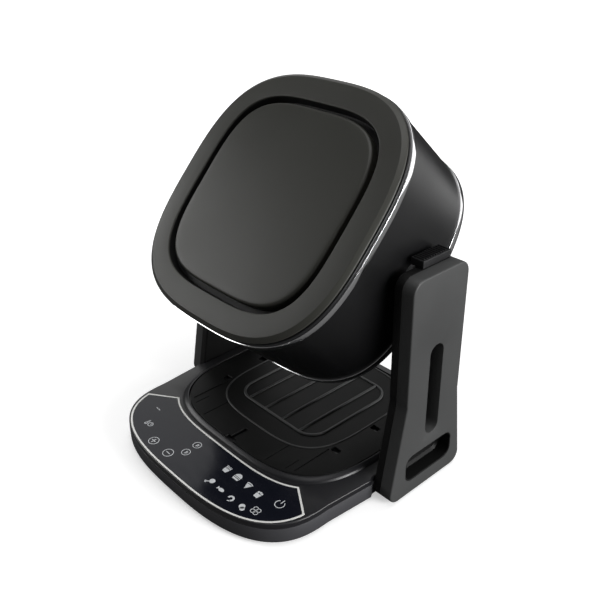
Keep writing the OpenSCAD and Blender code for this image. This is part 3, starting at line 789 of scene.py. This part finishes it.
def tray():
    shape = Shape(Matrix.Translation((0, TRAY_Y, 0)))
    low, high = TOP_Z + 0.6, TRAY_TOP
    edge = [p for p in cut_squircle(TRAY_HALF, 3.5, TRAY_BACK) if p[1] > 0 or abs(p[0]) > 7.5]
    notch = [
        (-6.5, -TRAY_HALF), (-6.5, -117), (-2.2, -117), (-2.2, -98),
        (2.2, -98), (2.2, -117), (6.5, -117), (6.5, -TRAY_HALF),
    ]
    split = next(i for i, (x, y) in enumerate(edge) if y < 0 and x > 0)
    edge = edge[:split] + notch + edge[split:]
    first, last = shape.wall([ring(edge, low)] + rounded_edge(edge, high, 0.9))
    holes_top, holes_low = [last], [first]
    for side in (-1, 1):
        for x, y in CLIP_SLOTS:
            hole = rounded_rect(side * x - 4.8, side * x + 4.8, y - 3.4, y + 3.4, 1.2, 4)
            top, bottom = shape.wall([ring(hole, high, -0.5), ring(hole, high - 0.5), ring(hole, low)])
            holes_top.append(top)
            holes_low.append(bottom)
        for x, y0, y1, w in SEAMS:
            seam = rounded_rect(side * x - w / 2, side * x + w / 2, y0, y1, w * 0.4, 2)
            top, bottom = shape.wall([ring(seam, high, -0.2), ring(seam, high - 0.9)])
            holes_top.append(top)
            shape.cap(bottom)
    shape.cap(*holes_top)
    shape.cap(*holes_low)
    shape.finish("ribbed_tray", "tray_black", "base", slot="satin_black", replaces=("tray_plate",))

    # the ribs' lighter grey is painted highlight
    shape = Shape(Matrix.Translation((0, TRAY_Y, 0)))
    ridge(shape, squircle(86.3, 3.4), 2.0, 0.8, high)
    ridge(shape, rounded_rect(-62.5, 62.5, -61, 60.5, 21.5), 3.0, 1.7, high)
    for i in range(4):
        x = (i - 1.5) * BAR_PITCH
        bar(shape, rib_loop(x - 1.5, x + 1.5, -61.5, 61), 1.6, high)
    shape.finish("tray_ribs", "rib_painted_highlight", "base", slot="satin_black")


tray()


# ---------- pillars ----------
def pillar_outline():
    """Side view of a pillar: straight above, flared below, all four corners rounded."""
    top_r, low_r = 13, 12
    low_y0, low_y1 = PILLAR_FRONT, PILLAR_BACK
    y0, y1 = AXIS.y - 38.5, AXIS.y + 38.5
    z0, z1 = PILLAR_LOW, PILLAR_TOP
    return dense(
        arc((low_y0 + low_r, z0 + low_r), low_r, 180, 270, 10)
        + arc((low_y1 - low_r, z0 + low_r), low_r, 270, 360, 10)
        + arc((y1 - 60, 105), 60, -4.5, 0, 6)
        + arc((y1 - top_r, z1 - top_r), top_r, 0, 90, 12)
        + arc((y0 + top_r, z1 - top_r), top_r, 90, 180, 12)
        + arc((y0 + 60, 117), 60, 180, 186, 6)
    )


PILLAR = pillar_outline()
SLOT_Z0, SLOT_Z1, SLOT_HALF = 64.5, 166, 9.5
SLOT_FLOOR, SLOT_WALL = OUTER_X - 14, 1.5
GRIP_Y0, GRIP_Y1, GRIP_Z0, GRIP_Z1, GRIP_R = 7.5, 74.5, 20, 49, 9
LINER = 1.2
TRUNNION_BORE = 12.1


def stadium(half, z0, z1):
    """Upright slot on the pillar's centre line."""
    return arc((AXIS.y, z0 + half), half, 180, 360, 14) + arc((AXIS.y, z1 - half), half, 0, 180, 14)


def grip_outline(grow=0.0):
    return rounded_rect(GRIP_Y0 - grow, GRIP_Y1 + grow, GRIP_Z0 - grow, GRIP_Z1 + grow, GRIP_R + grow)


def side_place(side):
    """Turns a pillar's side view upright, and mirrors it for the left one."""
    return ALONG_X if side > 0 else MIRROR @ ALONG_X


def outer_cover(side, name):
    shape = Shape(side_place(side))
    inner = OUTER_X - SKIN
    wall = [(inner, SKIN), (SPLIT_X, SKIN), (SPLIT_X, 0.3), (SPLIT_X + 0.4, 0)]
    start, face = shape.wall(
        stack(PILLAR, wall) + rounded_edge(PILLAR, OUTER_X, 1.6, 5))
    slot = stadium(SLOT_HALF, SLOT_Z0, SLOT_Z1)
    grip = grip_outline(LINER)
    recess = [
        (OUTER_X, -0.5), (OUTER_X - 0.15, -0.15), (OUTER_X - 0.5, 0),
        (SLOT_FLOOR, 0), (SLOT_FLOOR, -SLOT_WALL), (inner, -SLOT_WALL),
    ]
    slot_front, slot_end = shape.wall(stack(slot, recess))
    grip_front, grip_end = shape.wall([ring(grip, OUTER_X), ring(grip, inner)])
    shape.cap(face, slot_front, grip_front)
    shape.cap(start, slot_end, grip_end)
    shape.finish(
        name + "_pillar_cover", "pillar_grey", "base", slot="grey_plastic", replaces=(name + "_outer_cover",))


def inner_cover(side, name):
    shape = Shape(side_place(side))
    edge = SPLIT_X - 0.1
    floor = INNER_X + SKIN
    section = [(INNER_X, 1.6)]
    for i in range(1, 6):
        a = math.pi / 2 * i / 5
        section.append((INNER_X + 1.6 * (1 - math.cos(a)), 1.6 * (1 - math.sin(a))))
    section += [(edge - 0.4, 0), (edge, 0.3), (edge, SKIN), (floor, SKIN)]
    first, last = shape.wall(stack(PILLAR, section))
    bore = arc((AXIS.y, AXIS.z), TRUNNION_BORE, 0, 352.5, 47)
    a, b = shape.wall([ring(bore, INNER_X), ring(bore, floor)])
    shape.cap(first, a)
    shape.cap(last, b)
    # the inner cover's near black is partly its own black plastic and partly painted shade
    shape.finish(
        name + "_pillar_inner", "black_with_painted_shade", "base", slot="satin_black", replaces=(name + "_inner_cover",))


def slot_back(side, name):
    """Dark plate that closes the slot from inside."""
    shape = Shape(side_place(side))
    plate = stadium(SLOT_HALF + SLOT_WALL, SLOT_Z0 - SLOT_WALL, SLOT_Z1 + SLOT_WALL)
    edge = [(SLOT_FLOOR - 1.5, 0.3), (SLOT_FLOOR - 1.2, 0), (SLOT_FLOOR, 0)]
    first, last = shape.wall(stack(plate, edge))
    shape.cap(first)
    shape.cap(last)
    shape.finish(
        name + "_slot_plate", "slot_black", "base", slot="satin_black", replaces=(name + "_slot_back",))


def grip_liner(side, name):
    shape = Shape(side_place(side))
    back = INNER_X + 5.2
    hole = grip_outline(LINER - 0.05)
    section = [
        (back, 0), (OUTER_X - 0.3, 0), (OUTER_X, 0.3), (OUTER_X, LINER - 0.4), (OUTER_X - 0.5, LINER),
        (back + 4, LINER), (back + 1.5, LINER + 2.5),
    ]
    first, last = shape.wall(stack(hole, section))
    shape.cap(first)
    shape.cap(last)
    # the liner's near black is partly its own black plastic and partly painted shade inside the grip
    shape.finish(
        name + "_hand_grip", "black_with_painted_shade", "base", slot="satin_black", replaces=(name + "_grip_liner",))


for side, name in ((1, "right"), (-1, "left")):
    outer_cover(side, name)
    inner_cover(side, name)
    slot_back(side, name)
    grip_liner(side, name)


def lock_slider():
    """Ribbed slider: a rounded block with finger ribs and a stem down into the pillar."""
    low, high = size_mm("lock_slider")
    top = high.z - 1.2
    bottom = PILLAR_TOP + 0.3
    shape = Shape()
    x0, x1, y0, y1 = low.x, high.x, low.y, high.y
    block = rounded_rect(x0, x1, y0, y1, 1.0, 5)
    under = [ring(block, bottom, 0.5), ring(block, bottom + 0.5)]
    a, b = shape.wall(under + rounded_edge(block, top, 0.8))
    shape.cap(a)
    shape.cap(b)
    for i in range(11):
        y = y0 + 2.2 + i * 3.3
        rib = [(x0 + 1.3, y), (x1 - 1.5, y), (x1 - 1.5, y + 1.6), (x0 + 1.3, y + 1.6)]
        a, b = shape.wall([ring(rib, top - 0.2), ring(rib, top + 0.7), ring(rib, top + 1.2, 0.5)])
        shape.cap(a)
        shape.cap(b)
    stem_x0, stem_x1 = INNER_X + 2.8, INNER_X + 4.6
    for (sy0, sy1), (sz0, sz1) in (((4, 12), (-4, 0.5)), ((1, 16), (-5.4, -2.9))):
        stem = [
            (stem_x0, AXIS.y + sy0), (stem_x1, AXIS.y + sy0),
            (stem_x1, AXIS.y + sy1), (stem_x0, AXIS.y + sy1),
        ]
        a, b = shape.wall([ring(stem, PILLAR_TOP + sz0), ring(stem, PILLAR_TOP + sz1)])
        shape.cap(a)
        shape.cap(b)
    shape.finish("ribbed_slider", "satin_black", "slider", slot="satin_black", replaces=("lock_slider",))


lock_slider()


# ---------- pot and crisper plate inside the pod ----------
def cookware():
    band = [
        (1, 9, 0, 2.2), (40, 9, 0, 2.6), (104, 9, 0, 3.3), (108, 10.5, 4, 3.3), (108, 61.2, 0.2, 3.3),
        (115.6, 61.2, 0.5, 3.3), (116, 63, 0.6, 3.3), (107, 63, 1.2, 3.3), (106.4, 14, 5, 3.3),
        (100, 10.6, 0, 3.3), (40, 10.6, 0, 2.6), (1, 10.6, 0, 2.2),
    ]
    shape = Shape(POD)
    first, last = shape.wall(swept(fillet(band)))
    shape.cap(first)
    shape.cap(last)
    shape.finish("pot", "nonstick", "pod", slot="nonstick", replaces=("cooking_pot",))
    low, high = 17, 18.6
    shape = Shape(POD)
    edge = squircle(103, 3.3)
    a, b = shape.wall([ring(edge, low)] + rounded_edge(edge, high, 0.6, 3))
    tops, lows = [b], [a]
    for x in range(-75, 100, 25):
        for y in range(-75, 100, 25):
            if abs(x) + abs(y) < 145:
                hole = arc((x, y), 4, 0, 345, 23)
                top, bottom = shape.wall([ring(hole, high, -0.4), ring(hole, high - 0.4), ring(hole, low)])
                tops.append(top)
                lows.append(bottom)
    shape.cap(*tops)
    shape.cap(*lows)
    for x in (-70, 70):
        for y in (-70, 70):
            a, b = shape.wall([ring(arc((x, y), 4, 0, 345, 23), z) for z in (10.6, low + 0.2)])
            shape.cap(a)
            shape.cap(b)
    shape.finish("crisper", "nonstick", "pod", slot="nonstick", replaces=("crisper_plate",))


cookware()


# ---------- CAD nodes that stay, with their materials ----------
NODE_MATS = {slot["node"]: slot["material_slot"] for slot in frame["record"]["subparts"]}
for node, piece in frame["nodes"].items():
    piece.data.materials.clear()
    piece.data.materials.append(MATS[NODE_MATS[node]])


# ---------- signs printed on the control panel ----------
INK = 0.06
SIGN_Z = TOP_Z + 0.02


class Signs:
    """Flat printed shapes, all in one thin mesh."""

    def __init__(self):
        self.shape = Shape()

    def fill(self, points):
        a, b = self.shape.wall([ring(points, SIGN_Z), ring(points, SIGN_Z + INK)])
        self.shape.cap(a)
        self.shape.cap(b)

    def line(self, points, width=0.7):
        for (x0, y0), (x1, y1) in zip(points, points[1:]):
            d = Vector((x1 - x0, y1 - y0))
            n = Vector((-d.y, d.x)).normalized() * width / 2
            e = d.normalized() * width * 0.3
            self.fill([(x0 - e.x - n.x, y0 - e.y - n.y), (x1 + e.x - n.x, y1 + e.y - n.y),
                       (x1 + e.x + n.x, y1 + e.y + n.y), (x0 - e.x + n.x, y0 - e.y + n.y)])

    def curve(self, centre, radius, start, end, width=0.7, steps=20):
        inside = arc(centre, radius - width / 2, start, end, steps)
        outside = arc(centre, radius + width / 2, start, end, steps)
        if end - start >= 360:
            self.shape.wall([
                [(x, y, z) for x, y in loop[:-1]]
                for loop, z in (
                    (inside, SIGN_Z), (outside, SIGN_Z), (outside, SIGN_Z + INK), (inside, SIGN_Z + INK),
                )
            ], closed=True)
        else:
            self.fill(outside + inside[::-1])

    def disc(self, centre, radius, squash=1.0, steps=18):
        points = arc((0, 0), radius, 0, 360 - 360 / steps, steps - 1)
        self.fill([(centre[0] + x, centre[1] + y * squash) for x, y in points])


def print_signs():
    s = Signs()
    # plus and minus keys
    for x, y in ((-56, -141), (-29, -141)):
        s.curve((x, y), 5.6, 0, 360, 0.7, 40)
        s.line([(x - 2.8, y), (x + 2.8, y)], 0.9)
    s.line([(-56, -143.8), (-56, -138.2)], 0.9)
    # timer and temperature keys
    for x, y in ((-17, -127), (-18, -112)):
        s.curve((x, y), 4.6, 0, 360, 0.7, 40)
        s.line([(x, y - 2.2), (x, y + 2.2)], 0.9)
        s.line([(x + 1.6, y - 1.4), (x + 1.6, y + 1.4)], 0.7)
    # thermometer and clock
    s.curve((-88, -130.5), 1.4, 130, 410, 0.8)
    s.line([(-88.7, -129.5), (-88.7, -125.2)], 0.6)
    s.line([(-87.3, -129.5), (-87.3, -125.2)], 0.6)
    s.curve((-88, -125.2), 0.7, 0, 180, 0.6)
    s.curve((-82.3, -128.4), 2.9, 0, 360, 0.7, 30)
    s.line([(-82.3, -128.4), (-82.3, -126.6)], 0.7)
    s.line([(-82.3, -128.4), (-81.0, -128.4)], 0.7)
    # two status dashes
    s.line([(-103.5, -106.6), (-101, -106.6)], 1.0)
    s.line([(-99.5, -106.6), (-97, -106.6)], 1.0)
    # power
    s.curve((107, -106), 4.8, -230, 60, 0.8, 32)
    s.line([(107, -104.5), (107, -99.6)], 0.8)
    # four leaves
    for k in range(4):
        a = math.radians(45 + 90 * k)
        s.curve((98 + 2.8 * math.cos(a), -128 + 2.8 * math.sin(a)), 2.3, 0, 360, 0.7, 20)
    # fries
    x, y = 33.5, -112
    s.fill([(x - 2.6, y - 4.6), (x + 2.6, y - 4.6), (x + 3.6, y + 0.4), (x - 3.6, y + 0.4)])
    for k in range(4):
        s.line([(x - 2.7 + 1.8 * k, y + 1.2), (x - 3.1 + 2.0 * k, y + 4.2 - 0.5 * (k % 2))], 1.1)
    # burger
    x, y = 50, -112
    s.fill(arc((x, y + 0.8), 4.4, 0, 180, 14))
    s.line([(x - 4.2, y - 0.4), (x + 4.2, y - 0.4)], 1.0)
    s.fill([(x - 4.2, y - 1.7), (x - 3.6, y - 3.9), (x + 3.6, y - 3.9), (x + 4.2, y - 1.7)])
    # pizza slice
    x, y = 66.5, -112
    s.fill([(x, y - 5), (x + 3.6, y + 2.2), (x - 3.6, y + 2.2)])
    s.curve((x, y - 5), 8.8, 64, 116, 1.2, 8)
    # carton
    x, y = 83, -112
    s.fill([(x - 2.6, y - 4.8), (x + 2.6, y - 4.8), (x + 3.4, y + 0.6), (x - 3.4, y + 0.6)])
    for k in range(3):
        s.disc((x - 2.2 + 2.2 * k, y + 2.2 + 0.7 * (k == 1)), 1.3, steps=12)
    # drumstick
    x, y = 36, -134.5
    s.disc((x + 1.2, y + 1.2), 3.1)
    s.line([(x - 0.8, y - 0.8), (x - 3.4, y - 3.4)], 1.2)
    s.disc((x - 3.2, y - 4.2), 0.9, steps=10)
    s.disc((x - 4.2, y - 3.2), 0.9, steps=10)
    # fish
    x, y = 52.5, -134.5
    s.disc((x + 0.8, y), 3.6, 0.6)
    s.fill([(x - 2.2, y), (x - 4.8, y - 2.2), (x - 4.8, y + 2.2)])
    # shrimp
    x, y = 69, -134.5
    s.curve((x, y - 0.6), 2.9, -60, 190, 2.0, 20)
    s.line([(x + 2.0, y - 3.2), (x - 0.4, y - 4.6)], 1.1)
    # steak
    x, y = 85.5, -134.5
    s.disc((x - 0.8, y + 0.8), 3.2)
    s.disc((x + 1.6, y - 1.2), 2.6)
    s.shape.finish("panel_signs", "white_print", "base", slot="white_plastic")


print_signs()


# ---------- floor and light ----------
def seen_by_camera(tree, value, seen, unseen):
    """Gives a socket one value for what the camera sees directly and another for light and reflections."""
    path = tree.nodes.new("ShaderNodeLightPath")
    mix = tree.nodes.new("ShaderNodeMapRange")
    tree.links.new(path.outputs["Is Camera Ray"], mix.inputs["Value"])
    mix.inputs["To Min"].default_value = unseen
    if isinstance(seen, float):
        mix.inputs["To Max"].default_value = seen
    else:
        tree.links.new(seen, mix.inputs["To Max"])
    tree.links.new(mix.outputs["Result"], value)


def plain_floor():
    """Pale floor that fades to white away from the object, and throws little light back up at it. Its glow is
    painted light: weaker near the object as painted shade round it, stronger further out.
    """
    mesh = bpy.data.meshes.new("floor")
    far = 6.0
    corners = [(-far, -far, 0), (far, -far, 0), (far, far, 0), (-far, far, 0)]
    mesh.from_pydata(corners, [], [(0, 1, 2, 3)])
    n = Nodes("floor")
    grey = n.add("ShaderNodeCombineColor")
    for channel in grey.inputs:
        seen_by_camera(n.tree, channel, n.span(n.noise(3, 2), 0.93, 0.95), 0.15)
    n.wire("Base Color", grey.outputs["Color"])
    n.fix(Roughness=0.7, Specular_IOR_Level=0.1, Emission_Color=(1, 1, 1, 1))
    away = n.add("ShaderNodeVectorMath", {0: n.coords}, operation="LENGTH").outputs["Value"]
    # painted light: the floor's glow is weaker near the object, painting shade round it, and stronger further out
    painted_floor_glow = n.span(away, 0.46, 1.0, 0.45, 1.2)
    seen_by_camera(n.tree, n.shader.inputs["Emission Strength"], painted_floor_glow, 0.0)
    mesh.materials.append(n.mat)
    floor = bpy.data.objects.new("floor", mesh)
    bpy.context.scene.collection.objects.link(floor)


def area_light(name, place, aim, width, height, power):
    data = bpy.data.lights.new(name, "AREA")
    data.shape = "RECTANGLE"
    data.size, data.size_y = width, height
    data.energy = power
    light = bpy.data.objects.new(name, data)
    light.location = place
    light.rotation_euler = (Vector(aim) - Vector(place)).to_track_quat("-Z", "Y").to_euler()
    bpy.context.scene.collection.objects.link(light)


def world_light(strength):
    world = bpy.data.worlds.new("studio")
    bpy.context.scene.world = world
    world.use_nodes = True
    back = world.node_tree.nodes["Background"]
    back.inputs["Color"].default_value = (1, 1, 1, 1)
    seen_by_camera(world.node_tree, back.inputs["Strength"], 1.0, strength)


plain_floor()
world_light(0.1)
area_light("overhead", (0.0, 0.1, 2.2), (0, 0, 0), 1.8, 1.8, 17)
area_light("low_left", (-1.08, -0.6, 0.62), (0, 0, 0.25), 0.8, 0.5, 4.6)
area_light("behind_left", (-1.25, 0.95, 1.0), (0, -0.1, 0.1), 1.3, 1.0, 4.0)
area_light("right", (1.9, 0.45, 0.65), (0, 0, 0.2), 1.0, 1.0, 42)
area_light("behind", (0.65, 1.5, 0.3), (0, 0, 0.25), 1.2, 0.6, 3.0)
bpy.context.scene.view_settings.view_transform = "Standard"
